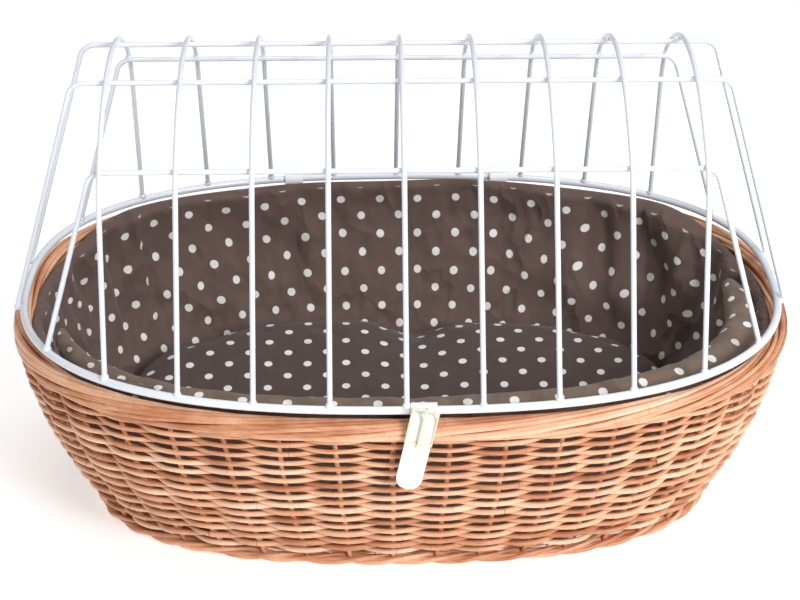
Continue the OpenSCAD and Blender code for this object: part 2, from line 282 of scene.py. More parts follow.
def whiteWireFinish():
    material, build, surface = blankMaterial("coatedWire")
    peel = noiseAt(build, placeOf(build), 380, 2)
    grime = noiseAt(build, placeOf(build), 14, 4)
    plug(build, mixColour(build, step(build, grime, 0.5, 0.9) * 0.25, rgba(226, 231, 239),
                          rgba(205, 212, 223)), surface, "Base Color")
    plug(build, peel * 0.12 + 0.2, surface, "Roughness")
    setInputs(surface, {"Coat Weight": 0.3, "Coat Roughness": 0.12})
    bumpFrom(build, surface, peel, 0.0002, 0.35)
    return material


def leatherFinish():
    material, build, surface = blankMaterial("whiteLeather")
    cells = build.node("ShaderNodeTexVoronoi", None, {"Vector": placeOf(build), "Scale": 1100})
    creases = noiseAt(build, placeOf(build), 160, 4, 0.65)
    soil = noiseAt(build, placeOf(build), 60, 3)
    plug(build, mixColour(build, step(build, soil, 0.45, 0.85) * 0.5, rgba(238, 239, 240),
                          rgba(222, 221, 217)), surface, "Base Color")
    plug(build, creases * 0.2 + 0.38, surface, "Roughness")
    bumpFrom(build, surface, cells * -0.5 + creases, 0.0004, 0.45)
    return material


def brassFinish():
    material, build, surface = blankMaterial("paleBrass")
    scratch = noiseAt(build, placeOf(build, (300, 300, 2400)), 1.0, 3, 0.6)
    plug(build, mixColour(build, scratch, rgba(238, 233, 210), rgba(206, 198, 162)), surface, "Base Color")
    plug(build, scratch * 0.22 + 0.2, surface, "Roughness")
    setInputs(surface, {"Metallic": 0.85})
    bumpFrom(build, surface, scratch, 0.0001, 0.3)
    return material


def threadFinish():
    material, build, surface = blankMaterial("whiteThread")
    twist = noiseAt(build, placeOf(build), 2500, 2)
    plug(build, mixColour(build, twist, rgba(225, 224, 218), rgba(246, 246, 242)), surface, "Base Color")
    setInputs(surface, {"Roughness": 0.8})
    bumpFrom(build, surface, twist, 0.0002, 0.5)
    return material


willow = willowFinish()
linerCloth = dottedFinish("dottedLinerCotton", (90, 71, 64), (114, 92, 84), 0.016)
# the roll is the same cotton as the liner, given a lighter brown: painted light where the roll catches more light
rollClothPaintedLight = dottedFinish("dottedRollCottonPaintedLight", (106, 88, 74), (130, 110, 94), 0.010)
# the cushion is the same cotton as the liner, given a darker brown: painted shade
cushionClothPaintedShade = dottedFinish("dottedCushionCottonPaintedShade", (72, 57, 53), (92, 74, 69))
whiteWire = whiteWireFinish()
whiteLeather = leatherFinish()
paleBrass = brassFinish()
whiteThread = threadFinish()
print("finishes made")


def newMesh(name, points, faces=(), edges=()):
    mesh = bpy.data.meshes.new(name)
    mesh.from_pydata([tuple(p) for p in points], list(edges), list(faces))
    mesh.update()
    piece = bpy.data.objects.new(name, mesh)
    bpy.context.scene.collection.objects.link(piece)
    return piece


def faceOutwards(piece):
    work = bmesh.new()
    work.from_mesh(piece.data)
    bmesh.ops.remove_doubles(work, verts=work.verts, dist=1e-6)
    bmesh.ops.recalc_face_normals(work, faces=work.faces)
    work.to_mesh(piece.data)
    work.free()


def fillHoles(piece, sides, nearest=math.inf):
    # closes the open loops whose points lie nearer the middle than nearest
    work = bmesh.new()
    work.from_mesh(piece.data)
    loops = [e for e in work.edges if e.is_boundary and e.verts[0].co.length < nearest]
    bmesh.ops.holes_fill(work, edges=loops, sides=sides)
    bmesh.ops.recalc_face_normals(work, faces=work.faces)
    work.to_mesh(piece.data)
    work.free()


def shadeSmooth(piece):
    piece.data.polygons.foreach_set("use_smooth", [True] * len(piece.data.polygons))


def writeValues(piece, label, values):
    piece.data.attributes.new(label, "FLOAT", "POINT").data.foreach_set("value", values)


def setFinish(piece, material):
    piece.data.materials.clear()
    piece.data.materials.append(material)


def settle(piece):
    # turns the piece with its live modifiers into a plain mesh
    bpy.context.view_layer.update()
    seen = piece.evaluated_get(bpy.context.evaluated_depsgraph_get())
    mesh = bpy.data.meshes.new_from_object(seen)
    piece.modifiers.clear()
    old = piece.data
    piece.data = mesh
    mesh.name = piece.name
    bpy.data.meshes.remove(old)
    return piece


def geometryTree(name, inputs):
    tree = bpy.data.node_groups.new(name, "GeometryNodeTree")
    tree.interface.new_socket("Geometry", in_out="INPUT", socket_type="NodeSocketGeometry")
    for label, kind, value in inputs:
        socket = tree.interface.new_socket(label, in_out="INPUT", socket_type=kind)
        if value is not None:
            socket.default_value = value
    tree.interface.new_socket("Geometry", in_out="OUTPUT", socket_type="NodeSocketGeometry")
    build = Build(tree)
    given = build.node("NodeGroupInput")
    return tree, build, given


def endTree(build, shape, material):
    whole = build.node("GeometryNodeRealizeInstances", None, [shape])
    coloured = build.node("GeometryNodeSetMaterial", None, {"Geometry": whole, "Material": material})
    last = build.tree.nodes.new("NodeGroupOutput")
    build.tree.links.new(coloured.socket, last.inputs[0])


def applyTree(piece, tree, values):
    modifier = piece.modifiers.new(tree.name, "NODES")
    modifier.node_group = tree
    for item in tree.interface.items_tree:
        if item.item_type == "SOCKET" and item.in_out == "INPUT" and item.name in values:
            modifier[item.identifier] = values[item.name]
    return settle(piece)


def rodTree():
    # sweeps a round section along every chain of edges, as thick as its points say
    tree, build, given = geometryTree("rods", [("Sides", "NodeSocketInt", 8), ("Finish", "NodeSocketMaterial", None)])
    curve = build.node("GeometryNodeMeshToCurve", None, {"Mesh": given})
    thick = build.node("GeometryNodeInputNamedAttribute", {"data_type": "FLOAT"}, {"Name": "thick"})
    sized = build.node("GeometryNodeSetCurveRadius", None, {"Curve": curve, "Radius": thick})
    section = build.node("GeometryNodeCurvePrimitiveCircle", None,
                         {"Resolution": build.more(given, "Sides"), "Radius": 1.0})
    tube = build.node("GeometryNodeCurveToMesh", None, {"Curve": sized, "Profile Curve": section, "Fill Caps": True})
    scaleSocket = tube.socket.node.inputs.get("Scale")
    if scaleSocket is not None:
        build.tree.links.new(thick.socket, scaleSocket)
    soft = build.node("GeometryNodeSetShadeSmooth", None, {"Geometry": tube, "Shade Smooth": True})
    endTree(build, soft, build.more(given, "Finish"))
    return tree


rods = rodTree()


def sweepRods(name, paths, material, sides=8):
    # each path has points, thick and tone, and may be closed
    points, edges, thick, tone, along = [], [], [], [], []
    for path in paths:
        first = len(points)
        count = len(path["points"])
        travelled = path.get("start", 0.0)
        for i, p in enumerate(path["points"]):
            if i:
                travelled += (p - path["points"][i - 1]).length
            points.append(p)
            along.append(travelled)
            thick.append(path["thick"][i] if isinstance(path["thick"], list) else path["thick"])
            tone.append(path["tone"][i] if isinstance(path["tone"], list) else path["tone"])
        edges += [(first + i, first + i + 1) for i in range(count - 1)]
        if path.get("closed"):
            edges.append((first + count - 1, first))
    piece = newMesh(name, points, edges=edges)
    for label, values in (("thick", thick), ("tone", tone), ("along", along)):
        writeValues(piece, label, values)
    return applyTree(piece, rods, {"Sides": sides, "Finish": material})


weave = {"rows": 28, "perStake": 8, "rod": 0.00204, "depth": 0.0043, "inset": 0.0071, "tighten": 0.16,
         "wander": 0.0028, "shake": 0.0004, "climb": 0.0009, "turnsLow": 0.9, "turnsHigh": 1.8}


def weaveWall():
    draw = random.Random(11)
    stakes = basket["stakes"]
    total = weave["rows"] * stakes * weave["perStake"]
    low = basket["footTop"] + weave["rod"]
    high = basket["rimBottom"] + 0.001
    paths = []
    path = None
    left = 0
    for i in range(total + 1):
        s = i / weave["perStake"]
        turns = s / stakes
        share = turns / weave["rows"]
        t = angleAt((s + 0.5) / stakes)
        if left <= 0:
            # a new rod starts behind a stake, with its cut butt a little proud
            if path:
                last = path["points"][-1]
                path["points"].append(last + (last - path["points"][-2]) * 0.8 + Vector((0, 0, -0.0008)))
                path["thick"].append(weave["rod"] * 0.72)
                path["tone"].append(path["tone"][-1])
            left = int(draw.uniform(weave["turnsLow"], weave["turnsHigh"]) * stakes) * weave["perStake"]
            length = left
            fat = draw.uniform(0.92, 1.16)
            base = draw.uniform(0.15, 1.0)
            path = {"points": [], "thick": [], "tone": [], "start": draw.uniform(0, 5)}
            paths.append(path)
        wave = math.cos(math.pi * s)
        wave *= 1.22 - 0.22 * wave * wave
        lean = share * (1 + weave["tighten"]) - weave["tighten"] * share * share
        cx, cy = math.cos(t), math.sin(t)
        z = low + (high - low) * lean
        z += weave["wander"] * wobble(cx * 1.6, cy * 1.6, z * 14) * smooth(share * 6) * smooth((1 - share) * 6)
        z += weave["shake"] * wobble(cx * 9 + 30, cy * 9, turns * 1.7)
        z += weave["climb"] * math.sin(math.pi * (s + 0.35)) * (1 + wobble(cx * 5, cy * 5, 7)) * (1 - 0.5 * share)
        gone = 1 - left / length
        r = weave["rod"] * fat * (1.06 - 0.24 * gone) * (1 - 0.15 * share)
        r *= 1 + 0.07 * wobble(s * 0.9, 4.4, turns)
        depth = weave["depth"] * (1 + 0.16 * wobble(s * 0.5, 8.1, turns * 3))
        path["points"].append(onWall(t, z, weave["inset"] - depth * wave))
        path["thick"].append(r)
        # the last term darkens each wall rod where it dips behind a stake: painted shade carried in tone
        tone = base + 0.35 * wobble(s * 0.35, 2.2, turns * 2) - 0.3 * max(0, -wave)
        path["tone"].append(min(1, max(0, tone)))
        left -= 1
    return sweepRods("wickerWall", [p for p in paths if len(p["points"]) > 2], willow)


def uprightStakes():
    draw = random.Random(5)
    paths = []
    for k in range(basket["stakes"]):
        t = angleAt((k + 0.5) / basket["stakes"])
        tone = draw.uniform(0.15, 0.6)
        thick = draw.uniform(0.0017, 0.0020)
        points = []
        for i in range(13):
            z = basket["footTop"] - 0.004 + (basket["rimBottom"] + 0.012 - basket["footTop"]) * i / 12
            points.append(onWall(t + 0.006 * wobble(k * 3.3, z * 30), z, weave["inset"]))
        paths.append({"points": points, "thick": thick, "tone": tone})
    return sweepRods("wickerStakes", paths, willow)


def borderRods(draw, size):
    # rods that wind round the border one after another, each over the next few
    paths = []
    stakes = basket["stakes"]
    for k in range(stakes):
        start = (k + draw.uniform(-0.2, 0.2)) / stakes
        span = size["span"] * draw.uniform(0.93, 1.07) / stakes
        tone = draw.uniform(0.05, 0.9)
        fat = size["rod"] * draw.uniform(0.86, 1.12)
        points, thick, tones = [], [], []
        for i in range(size["steps"] + 1):
            share = i / size["steps"]
            t = angleAt(start + span * share)
            around = math.radians(size["from"] + (size["to"] - size["from"]) * share)
            wide = math.copysign(abs(math.cos(around)) ** 0.8, math.cos(around)) * size["halfWide"]
            tall = math.copysign(abs(math.sin(around)) ** 0.8, math.sin(around)) * size["halfTall"]
            wide *= 1 + 0.06 * wobble(k * 7.7, share * 3)
            inset = size["inset"] - wide
            x, y = oval(basket[size["a"]] - inset, basket[size["b"]] - inset, t)
            point = Vector((x, y, size["z"] + tall))
            point.z += size["shake"] * wobble(k * 1.3, share * 4, 9)
            points.append(point)
            thick.append(fat * (1.0 - size["taper"] * share) * (1 + 0.05 * wobble(k * 2.1, share * 9)))
            tones.append(min(1, max(0, tone + 0.3 * wobble(k * 5.5, share * 5, 2))))
        paths.append({"points": points, "thick": thick, "tone": tones, "start": draw.uniform(0, 4)})
    return paths


def coreLoop(size, inset, z, tone):
    a, b = basket[size["a"]] - inset, basket[size["b"]] - inset
    points = [Vector((*oval(a, b, 2 * math.pi * i / 180), z)) for i in range(180)]
    return {"points": points, "thick": size["core"], "tone": tone, "closed": True}


rimSize = {"span": 11, "rod": 0.0020, "steps": 66, "from": -70, "to": 262, "halfWide": 0.0054, "halfTall": 0.0063,
           "inset": 0.0081, "z": (basket["rimBottom"] + basket["top"]) / 2, "a": "rimA", "b": "rimB",
           "shake": 0.0008, "taper": 0.2, "core": 0.0032, "coreInset": 0.0082, "coreApart": 0.0022}
footSize = {"span": 3.2, "rod": 0.0019, "steps": 26, "from": -150, "to": 210, "halfWide": 0.0038,
            "halfTall": 0.0024, "inset": 0.0058, "z": 0.0046, "a": "baseA", "b": "baseB",
            "shake": 0.0002, "taper": 0.1, "core": 0.0022, "coreInsets": (0.0040, 0.0080)}


def rimBorder():
    paths = borderRods(random.Random(23), rimSize)
    for dz in (-rimSize["coreApart"], rimSize["coreApart"]):
        paths.append(coreLoop(rimSize, rimSize["coreInset"], rimSize["z"] + dz, 0.1))
    return sweepRods("wickerRim", paths, willow, 10)


def footBorder():
    paths = borderRods(random.Random(31), footSize)
    for inset in footSize["coreInsets"]:
        paths.append(coreLoop(footSize, inset, footSize["z"], 0.2))
    return sweepRods("wickerFoot", paths, willow)


baseWeave = {"pitch": 0.0048, "rod": 0.0018, "lift": 0.00145, "stick": 0.0015, "gap": 0.022, "step": 0.009,
             "edge": 0.002, "shortest": 0.02}


def wovenBase():
    low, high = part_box("base_panel")
    a, b, mid = high[0], high[1], (low[2] + high[2]) / 2
    rows = b / baseWeave["pitch"] - 1
    points, tones, thick = [], [], []
    turns = 0.0
    while turns < rows:
        inset = baseWeave["pitch"] * turns + baseWeave["edge"]
        x, y = oval(a - inset, b - inset, 2 * math.pi * turns)
        lift = baseWeave["lift"] * math.cos(math.pi * (x / baseWeave["gap"] + turns))
        points.append(Vector((x, y, mid + lift)))
        thick.append(baseWeave["rod"] * (1 + 0.1 * wobble(turns * 5, 1.0)))
        tones.append(0.45 + 0.5 * wobble(turns * 3.1, 6.0))
        around = max(0.12, 3.6 * (a - inset + b - inset))  # about the length of this turn
        turns += baseWeave["step"] / around
    paths = [{"points": points, "thick": thick, "tone": tones}]
    count = int(a / baseWeave["gap"])
    for k in range(-count, count + 1):
        x = k * baseWeave["gap"]
        y = ovalAcross(a - 2 * baseWeave["edge"], b - 2 * baseWeave["edge"], x)
        if y > baseWeave["shortest"]:
            line = [Vector((x, -y + 2 * y * i / 8, mid)) for i in range(9)]
            paths.append({"points": line, "thick": baseWeave["stick"], "tone": 0.3})
    return sweepRods("wickerBase", paths, willow, 6)


def dressWicker():
    for piece, node in ((weaveWall(), "wall_weave"), (uprightStakes(), "stakes"), (rimBorder(), "rim_border"),
                        (footBorder(), "foot_border"), (wovenBase(), "base_panel")):
        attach(piece, "basket")
        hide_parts(node)
        print(piece.name, len(piece.data.polygons))
    setFinish(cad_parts["base_sticks"], willow)


dressWicker()
print("wicker made")


def gridPiece(name, rows, closedAcross, material, uvs):
    # rows of points, bottom row first; uvs has one (u, v) for each point of a row and one column more if closed
    count = len(rows[0])
    points = [p for row in rows for p in row]
    faces = []
    corners = []
    across = count if closedAcross else count - 1
    for j in range(len(rows) - 1):
        for i in range(across):
            i2 = (i + 1) % count
            faces.append((j * count + i, j * count + i2, (j + 1) * count + i2, (j + 1) * count + i))
            corners += [uvs[j][i], uvs[j][i + 1], uvs[j + 1][i + 1], uvs[j + 1][i]]
    piece = newMesh(name, points, faces)
    layer = piece.data.uv_layers.new(name="cloth")
    layer.data.foreach_set("uv", [c for uv in corners for c in uv])
    setFinish(piece, material)
    shadeSmooth(piece)
    return piece


def thicken(piece, depth):
    solid = piece.modifiers.new("thickness", "SOLIDIFY")
    solid.thickness = depth
    solid.offset = -1
    solid.use_even_offset = False
    return settle(piece)


linerSize = {"around": 420, "up": 54, "inset": 0.0178, "thick": 0.0012, "low": 0.0152, "topGap": 0.003,
             "girthAt": 0.1, "hemRows": 8, "hemOut": 0.0035, "hemRise": 0.0035, "crease": 0.0060, "corner": 0.0100,
             "endDroop": 0.009, "backRise": 0.0065}


def linerInset(t, share):
    # wrinkles stand in from the wall, most at the rounded corners
    cx, cy = math.cos(t), math.sin(t)
    corner = (2 * abs(cx * cy)) ** 1.5
    gather = wobble(cx * 7.5 + share * 0.9, cy * 7.5 - share * 0.5, share * 0.6)
    fine = wobble(cx * 19 + 7, cy * 19, share * 1.6)
    slant = wobble(cx * 4 + share * 2.6, cy * 4 + share * 1.1, 3.0)
    fold = 0.1 * smooth((share - 0.8) * 4) + 0.62 * abs(gather) + 0.2 * abs(fine) + 0.45 * max(0, slant)
    size = linerSize["crease"] * 1.5 + linerSize["corner"] * 1.8 * corner
    free = smooth((share - 0.24) * 2.6) * 0.9 + 0.08
    return fold * size * free


def linerDroop(t):  # the hem hangs lower at the ends and stands higher at the back
    ends = smooth((abs(math.cos(t)) - 0.72) * 3.5)
    back = smooth((math.sin(t) - 0.35) * 2.5)
    lazy = 0.0022 * wobble(math.cos(t) * 3, math.sin(t) * 3, 5)
    return lazy - linerSize["endDroop"] * ends + linerSize["backRise"] * back


def linerWall():
    n, m = linerSize["around"], linerSize["up"]
    low, top = linerSize["low"], basket["top"] - linerSize["topGap"]
    turn = [2 * math.pi * i / n for i in range(n + 1)]
    girth = [onWall(t, linerSize["girthAt"], linerSize["inset"]) for t in turn]
    lengths = [0.0]
    for p, q in zip(girth, girth[1:]):
        lengths.append(lengths[-1] + (q - p).length)
    rows, uvs = [], []
    up = 0.0
    for j in range(m + 1):
        share = j / m
        z = low + (top - low) * share
        rows.append([onWall(t, z + linerDroop(t) * smooth((share - 0.5) * 2), linerSize["inset"] + linerInset(t, share))
                     for t in turn[:n]])
        uvs.append([(u, up) for u in lengths])
        up += (top - low) * 1.06 / m
    # the hem turns out over the inside of the rim, below the ring
    for k in range(1, linerSize["hemRows"] + 1):
        share = k / linerSize["hemRows"]
        rise = Vector((0, 0, linerSize["hemRise"] * math.sin(share * math.pi * 0.62)))
        row = []
        for t in turn[:n]:
            behind = 1 - 0.9 * smooth(math.sin(t) * 3)
            uneven = 1 + 0.25 * wobble(math.cos(t) * 5, math.sin(t) * 5, 8)
            flop = linerSize["hemOut"] * share * behind * uneven
            fold = linerInset(t, 1.0) * (1 - share)
            row.append(onWall(t, top + linerDroop(t), linerSize["inset"] + fold - flop) + rise)
        rows.append(row)
        uvs.append([(u, up) for u in lengths])
        up += linerSize["hemOut"] / linerSize["hemRows"]
    piece = gridPiece("clothLiner", rows, True, linerCloth, uvs)
    outer = len(piece.data.vertices)
    thicken(piece, linerSize["thick"])
    rowOf = [(i % outer) // n for i in range(len(piece.data.vertices))]
    hidden = [1.0 if i < outer or row > m else 0.0 for i, row in enumerate(rowOf)]
    writeValues(piece, "plain", hidden)  # no dots there
    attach(piece, "basket")
    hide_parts("liner_wall")


rollSize = {"from": 193, "to": 371, "steps": 260, "sides": 30, "radius": 0.0128, "sag": 0.0012, "inset": 0.0331,
            "wide": 0.98, "tall": 0.96}


def linerRoll():
    low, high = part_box("liner_roll")
    mid = (low[2] + high[2]) / 2
    n, m = rollSize["steps"], rollSize["sides"]
    rows, uvs = [], []
    along = 0.0
    last = None
    for j in range(n + 1):
        share = j / n
        t = math.radians(rollSize["from"] + (rollSize["to"] - rollSize["from"]) * share)
        centre = onWall(t, mid - rollSize["radius"], rollSize["inset"])
        centre.z = mid + rollSize["sag"] * wobble(share * 9, 3.0)
        ahead = onWall(t + 0.01, mid - rollSize["radius"], rollSize["inset"])
        tangent = Vector((ahead.x - centre.x, ahead.y - centre.y, 0)).normalized()
        out = Vector((tangent.y, -tangent.x, 0))
        if last is not None:
            along += (centre - last).length
        last = centre
        end = min(1.0, (share * (1 - share) * 4) ** 0.35 * 1.05)
        swell = 0.98 + 0.32 * smooth((share - 0.38) * 2.4)  # fatter towards the right
        row = []
        for i in range(m):
            g = 2 * math.pi * i / m
            r = rollSize["radius"] * end * swell
            r *= 1 + 0.10 * wobble(share * 26 + math.cos(g), math.sin(g) * 1.4, 1.0)
            r *= 1 + 0.05 * wobble(share * 70, g * 0.8, 4.0)
            pinch = 0.14 * max(0, wobble(share * 34 + g * 0.55, 12.0, 0.5))
            r *= 1 - pinch
            row.append(centre + out * (r * math.cos(g) * rollSize["wide"])
                       + Vector((0, 0, r * math.sin(g) * rollSize["tall"])))
        rows.append(row)
        uvs.append([(along, rollSize["radius"] * 2 * math.pi * i / m) for i in range(m + 1)])
    piece = gridPiece("clothRoll", rows, True, rollClothPaintedLight, uvs)
    fillHoles(piece, m + 2)
    shadeSmooth(piece)
    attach(piece, "basket")
    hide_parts("liner_roll")


pillow = {"edge": 0.84, "lean": 0.034, "around": 160, "shrink": 0.004, "voxel": 0.005, "pressure": 4.0,
          "frames": 20, "reach": 0.007, "brim": 0.010, "seam": 0.006, "valley": 0.012, "valleyAt": 0.012,
          "valleyWide": 0.03, "pucker": 0.0026, "lump": 0.0022}


def pillowHeight(x, y, a, b, edge, dome):
    n = basket["planPower"]
    r = min(1, (abs(x / a) ** n + abs(y / b) ** n) ** (1 / n))
    height = edge + dome * (1 - r ** 2.2) ** 0.8
    # two soft lobes meet in a shallow valley near the back
    valley = math.exp(-((x - pillow["valleyAt"]) / pillow["valleyWide"]) ** 2) * smooth((y / b + 0.1) * 1.2)
    # and the back half stands higher than the front
    lean = pillow["lean"] * smooth((0.11 - y) / 0.20)
    return height - pillow["valley"] * valley * (0.35 + 0.65 * r) - lean


def cushionStart():
    low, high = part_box("cushion")
    a, b = high[0] - pillow["shrink"], high[1] - pillow["shrink"]
    z0, z1 = low[2] + 0.002, high[2]
    edge = z0 + (z1 - z0) * pillow["edge"]
    dome = z1 - edge - pillow["seam"]
    n = pillow["around"]
    # share of the oval and rise, from the middle of the underside out and up
    outline = [(0.02, 0), (0.5, 0), (0.86, 0), (0.90, 0.003), (0.93, 0.008), (0.955, 0.014), (0.975, 0.020)]
    rows = [[Vector((*oval(a * s, b * s, 2 * math.pi * i / n), z0 + rise)) for i in range(n)] for s, rise in outline]
    for k in range(1, 21):
        s = 1 - k / 20 * 0.985
        row = []
        for i in range(n):
            x, y = oval(a * s, b * s, 2 * math.pi * i / n)
            row.append(Vector((x, y, pillowHeight(x, y, a, b, edge - pillow["seam"] * (s > 0.94), dome))))
        rows.append(row)
    points = [p for row in rows for p in row]
    faces = [(j * n + i, j * n + (i + 1) % n, (j + 1) * n + (i + 1) % n, (j + 1) * n + i)
             for j in range(len(rows) - 1) for i in range(n)]
    faces.append(tuple(range(n))[::-1])
    faces.append(tuple((len(rows) - 1) * n + i for i in range(n)))
    return newMesh("cushionPad", points, faces)


def inflate(piece):
    # pressure swells the cloth; each point may move only so far
    remesh = piece.modifiers.new("even", "REMESH")
    remesh.mode = "VOXEL"
    remesh.voxel_size = pillow["voxel"]
    settle(piece)
    start = [v.co.copy() for v in piece.data.vertices]
    cloth = piece.modifiers.new("cloth", "CLOTH")
    cloth.settings.use_pressure = True
    cloth.settings.uniform_pressure_force = pillow["pressure"]
    cloth.settings.quality = 5
    cloth.settings.effector_weights.gravity = 0
    cloth.point_cache.frame_start = 1
    cloth.point_cache.frame_end = pillow["frames"]
    scene = bpy.context.scene
    for f in range(1, pillow["frames"] + 1):
        scene.frame_set(f)
    settle(piece)
    scene.frame_set(1)
    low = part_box("cushion")[0]
    for vertex, before in zip(piece.data.vertices, start):
        move = vertex.co - before
        if move.length > pillow["reach"]:
            move *= pillow["reach"] / move.length
        vertex.co = before + move
        vertex.co.z = max(low[2] + 0.0004, vertex.co.z)
    return piece


def mapCushion(piece):
    # the cloth runs on down the sides from the edge of the top, and lies flat again underneath
    low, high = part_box("cushion")
    edge = low[2] + (high[2] - low[2]) * pillow["edge"] - pillow["brim"]
    layer = piece.data.uv_layers.new(name="cloth")
    for face in piece.data.polygons:
        under = face.normal.z < -0.5
        for k in face.loop_indices:
            p = piece.data.vertices[piece.data.loops[k].vertex_index].co
            drop = 0 if under else max(0, pillowHeight(p.x, p.y, high[0], high[1], edge, 0) - p.z)
            out = 1 + drop / max(0.05, math.hypot(p.x, p.y))
            layer.data[k].uv = (p.x * out + 0.3, p.y * out + 0.3)


def puckers(piece):
    low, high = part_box("cushion")
    a, b = high[0], high[1]
    n = basket["planPower"]
    for vertex in piece.data.vertices:
        p = vertex.co
        r = (abs(p.x / a) ** n + abs(p.y / b) ** n) ** (1 / n)
        if p.z > low[2] + 0.02:
            t = math.atan2(p.y / b, p.x / a)
            near = smooth((r - 0.62) * 3.2)
            p.z += pillow["pucker"] * near * wobble(math.cos(t) * 11, math.sin(t) * 11, r * 1.5)
            p.z += pillow["lump"] * wobble(p.x * 13, p.y * 13, 2.0)


def cushionPad():
    piece = cushionStart()
    inflate(piece)
    finer = piece.modifiers.new("finer", "SUBSURF")
    finer.levels = finer.render_levels = 1
    settle(piece)
    puckers(piece)
    mapCushion(piece)
    setFinish(piece, cushionClothPaintedShade)
    shadeSmooth(piece)
    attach(piece, "cushion")
    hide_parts("cushion")
    print("cushion", len(piece.data.polygons))


def linerFloor():
    # the flat cloth under the cushion
    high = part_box("liner_floor")[1]
    n = 160
    rows, uvs = [], []
    for k in range(13):
        s = 1 - k / 12 * 0.98
        row = []
        for i in range(n):
            x, y = oval(high[0] * s, high[1] * s, 2 * math.pi * i / n)
            row.append(Vector((x, y, high[2] - 0.0004 * abs(wobble(x * 40, y * 40)))))
        rows.append(row)
        uvs.append([(p.x + 0.3, p.y + 0.3) for p in row] + [(row[0].x + 0.3, row[0].y + 0.3)])
    piece = gridPiece("clothFloor", rows, True, linerCloth, uvs)
    fillHoles(piece, n + 2, nearest=0.02)
    thicken(piece, linerSize["thick"])
    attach(piece, "basket")
    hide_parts("liner_floor")


linerWall()
linerRoll()
linerFloor()
cushionPad()
print("cloth made")


cage = {"wire": 0.002, "hoops": 9, "crownR": 0.178, "shoulderR": 0.060, "crownAngle": math.radians(40),
        "sideAngle": math.radians(45), "topY": 0.041, "bendR": 0.012, "sink": 0.0003,
        "topPast": 0.026, "sidePast": 0.007, "drop": 0.0023}
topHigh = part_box("hoop_5")[1]
cage["crownZ"] = topHigh[2] - cage["wire"] - ring["z"] - cage["crownR"]
cage["shoulderY"] = (cage["crownR"] - cage["shoulderR"]) * math.sin(cage["crownAngle"])
cage["shoulderZ"] = cage["crownZ"] + (cage["crownR"] - cage["shoulderR"]) * math.cos(cage["crownAngle"])


def arc(centre, r, start, stop, steps):
    return [(centre[0] + r * math.cos(start + (stop - start) * k / steps),
             centre[1] + r * math.sin(start + (stop - start) * k / steps)) for k in range(steps + 1)]


def tangentAngle(p, centre, r, turn):
    away = math.hypot(p[0] - centre[0], p[1] - centre[1])
    return math.atan2(p[1] - centre[1], p[0] - centre[0]) + turn * math.acos(r / away)


def line(p, q, steps):
    return [(p[0] + (q[0] - p[0]) * k / steps, p[1] + (q[1] - p[1]) * k / steps) for k in range(steps)]


def hoopPoints(x):
    foot = (ovalAcross(ring["a"], ring["b"], x), ring["radius"] + cage["wire"] / 3 - cage["sink"])
    centre = (cage["shoulderY"], cage["shoulderZ"])
    meet = math.pi / 2 - cage["crownAngle"]
    leg = tangentAngle(foot, centre, cage["shoulderR"], 1)
    shoulder = arc(centre, cage["shoulderR"], leg, meet, 14)
    half = line(foot, shoulder[0], 6) + shoulder
    crown = arc((0, cage["crownZ"]), cage["crownR"], meet, math.pi - meet, 34)[1:-1]
    flat = half + crown + [(-y, z) for y, z in reversed(half)]
    return [Vector((x, y, z + ring["z"])) for y, z in flat]


def longWirePoints(y, z, corner, foot):
    bend = math.atan2(z - foot[1], foot[0] - corner)
    centre = (corner - cage["bendR"] * math.tan(bend / 2), z - cage["bendR"])
    half = arc(centre, cage["bendR"], math.pi / 2 - bend, math.pi / 2, 10)
    half = line(foot, half[0], 8) + half
    middle = line(half[-1], (-half[-1][0], half[-1][1]), 40)[1:]
    flat = half + middle + [(-px, pz) for px, pz in reversed(half)]
    return [Vector((px, y, pz + ring["z"])) for px, pz in flat]


